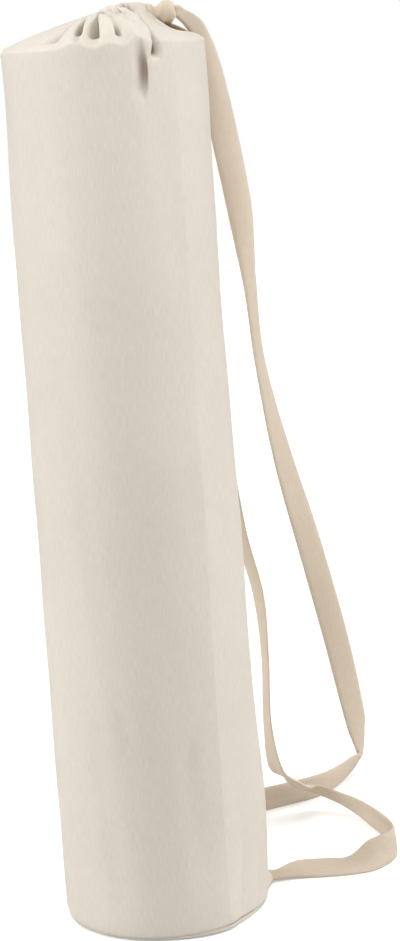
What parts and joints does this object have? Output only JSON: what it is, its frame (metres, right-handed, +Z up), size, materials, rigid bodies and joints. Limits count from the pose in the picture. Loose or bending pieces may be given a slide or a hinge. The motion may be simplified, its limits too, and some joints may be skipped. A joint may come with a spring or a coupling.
{
  "type": "yoga mat bag",
  "caption": "Tall round canvas bag for a rolled exercise mat, gathered at the top by a flat tape that knots, hangs down and is sewn into the base seam as a carrying strap.",
  "frame": {"origin": "centre of the round base, on the floor", "axes": "+Z up along the bag towards the gathered top, front of the bag faces -Y, the hanging strap is on the +X side"},
  "size_m": [0.2663, 0.3484, 0.677],
  "materials": {
    "canvas": "natural undyed cotton canvas, matte plain weave",
    "tape": "folded canvas tape, matte, a little tanner than the bag"
  },
  "bodies": {
    "root": {"bag_body": "canvas", "base_panel": "canvas", "strap_knot": "tape", "strap_long": "tape", "strap_short": "tape"}
  },
  "joints": []
}
